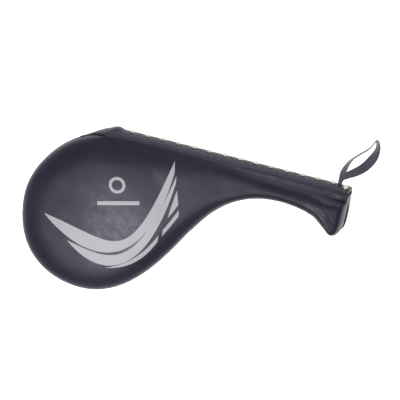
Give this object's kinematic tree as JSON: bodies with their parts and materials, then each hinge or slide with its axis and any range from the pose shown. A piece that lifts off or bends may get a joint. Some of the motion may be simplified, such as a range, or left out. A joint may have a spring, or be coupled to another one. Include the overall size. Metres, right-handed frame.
{
  "type": "kick paddle",
  "caption": "Martial arts kick paddle with two padded drumstick-shaped leather leaves hinged along a riveted spine, a flared grip and a wrist strap.",
  "frame": {"origin": "middle of the paddle's box, without the wrist strap, at the floor that the back leaf lies on", "axes": "+X along the riveted spine from the head to the butt, +Y out of the spine, +Z out of the front face"},
  "size_m": [0.4259, 0.2709, 0.0517],
  "materials": {
    "cover_leather": "satin moulded synthetic leather, dark navy charcoal",
    "lining_leather": "matt flat synthetic leather",
    "stiffener_board": "plain plastic board",
    "foam": "closed-cell foam",
    "grip_core": "plain wood",
    "spine_leather": "satin strip leather",
    "rivet_nickel": "worn nickel plate",
    "washer_steel": "plain steel",
    "strap_ribbon": "fine woven ribbon"
  },
  "bodies": {
    "back_leaf": {"back_cover": "cover_leather", "back_lining": "lining_leather", "back_stiffener": "stiffener_board", "back_foam": "foam", "back_grip_core": "grip_core", "spine_band": "spine_leather", "spine_backing": "spine_leather", "spine_end_tab": "spine_leather", "rivet_01": "rivet_nickel", "rivet_02": "rivet_nickel", "rivet_03": "rivet_nickel", "rivet_04": "rivet_nickel", "rivet_05": "rivet_nickel", "rivet_06": "rivet_nickel", "rivet_07": "rivet_nickel", "rivet_08": "rivet_nickel", "rivet_09": "rivet_nickel", "rivet_10": "rivet_nickel", "rivet_11": "rivet_nickel", "rivet_12": "rivet_nickel", "rivet_13": "rivet_nickel", "rivet_14": "rivet_nickel", "rivet_15": "rivet_nickel", "rivet_washer_01": "washer_steel", "rivet_washer_02": "washer_steel", "rivet_washer_03": "washer_steel", "rivet_washer_04": "washer_steel", "rivet_washer_05": "washer_steel", "rivet_washer_06": "washer_steel", "rivet_washer_07": "washer_steel", "rivet_washer_08": "washer_steel", "rivet_washer_09": "washer_steel", "rivet_washer_10": "washer_steel", "rivet_washer_11": "washer_steel", "rivet_washer_12": "washer_steel", "rivet_washer_13": "washer_steel", "rivet_washer_14": "washer_steel", "rivet_washer_15": "washer_steel", "strap_tab": "strap_ribbon"},
    "front_leaf": {"front_cover": "cover_leather", "front_lining": "lining_leather", "front_stiffener": "stiffener_board", "front_foam": "foam", "front_grip_core": "grip_core", "spine_front_wing": "spine_leather"},
    "strap": {"wrist_strap": "strap_ribbon"}
  },
  "joints": [
    {"name": "leaf_open", "type": "hinge", "parent": "back_leaf", "child": "front_leaf", "pos_m": [0, 0.09892, 0.024], "axis": [-1, 0, 0], "range_deg": [-1.6, 18], "stiffness_Nm_per_rad": 20},
    {"name": "strap_swing", "type": "hinge", "parent": "back_leaf", "child": "strap", "pos_m": [0.18585, 0.10702, 0.024], "axis": [1, 0, 0], "range_deg": [-40, 75]}
  ]
}
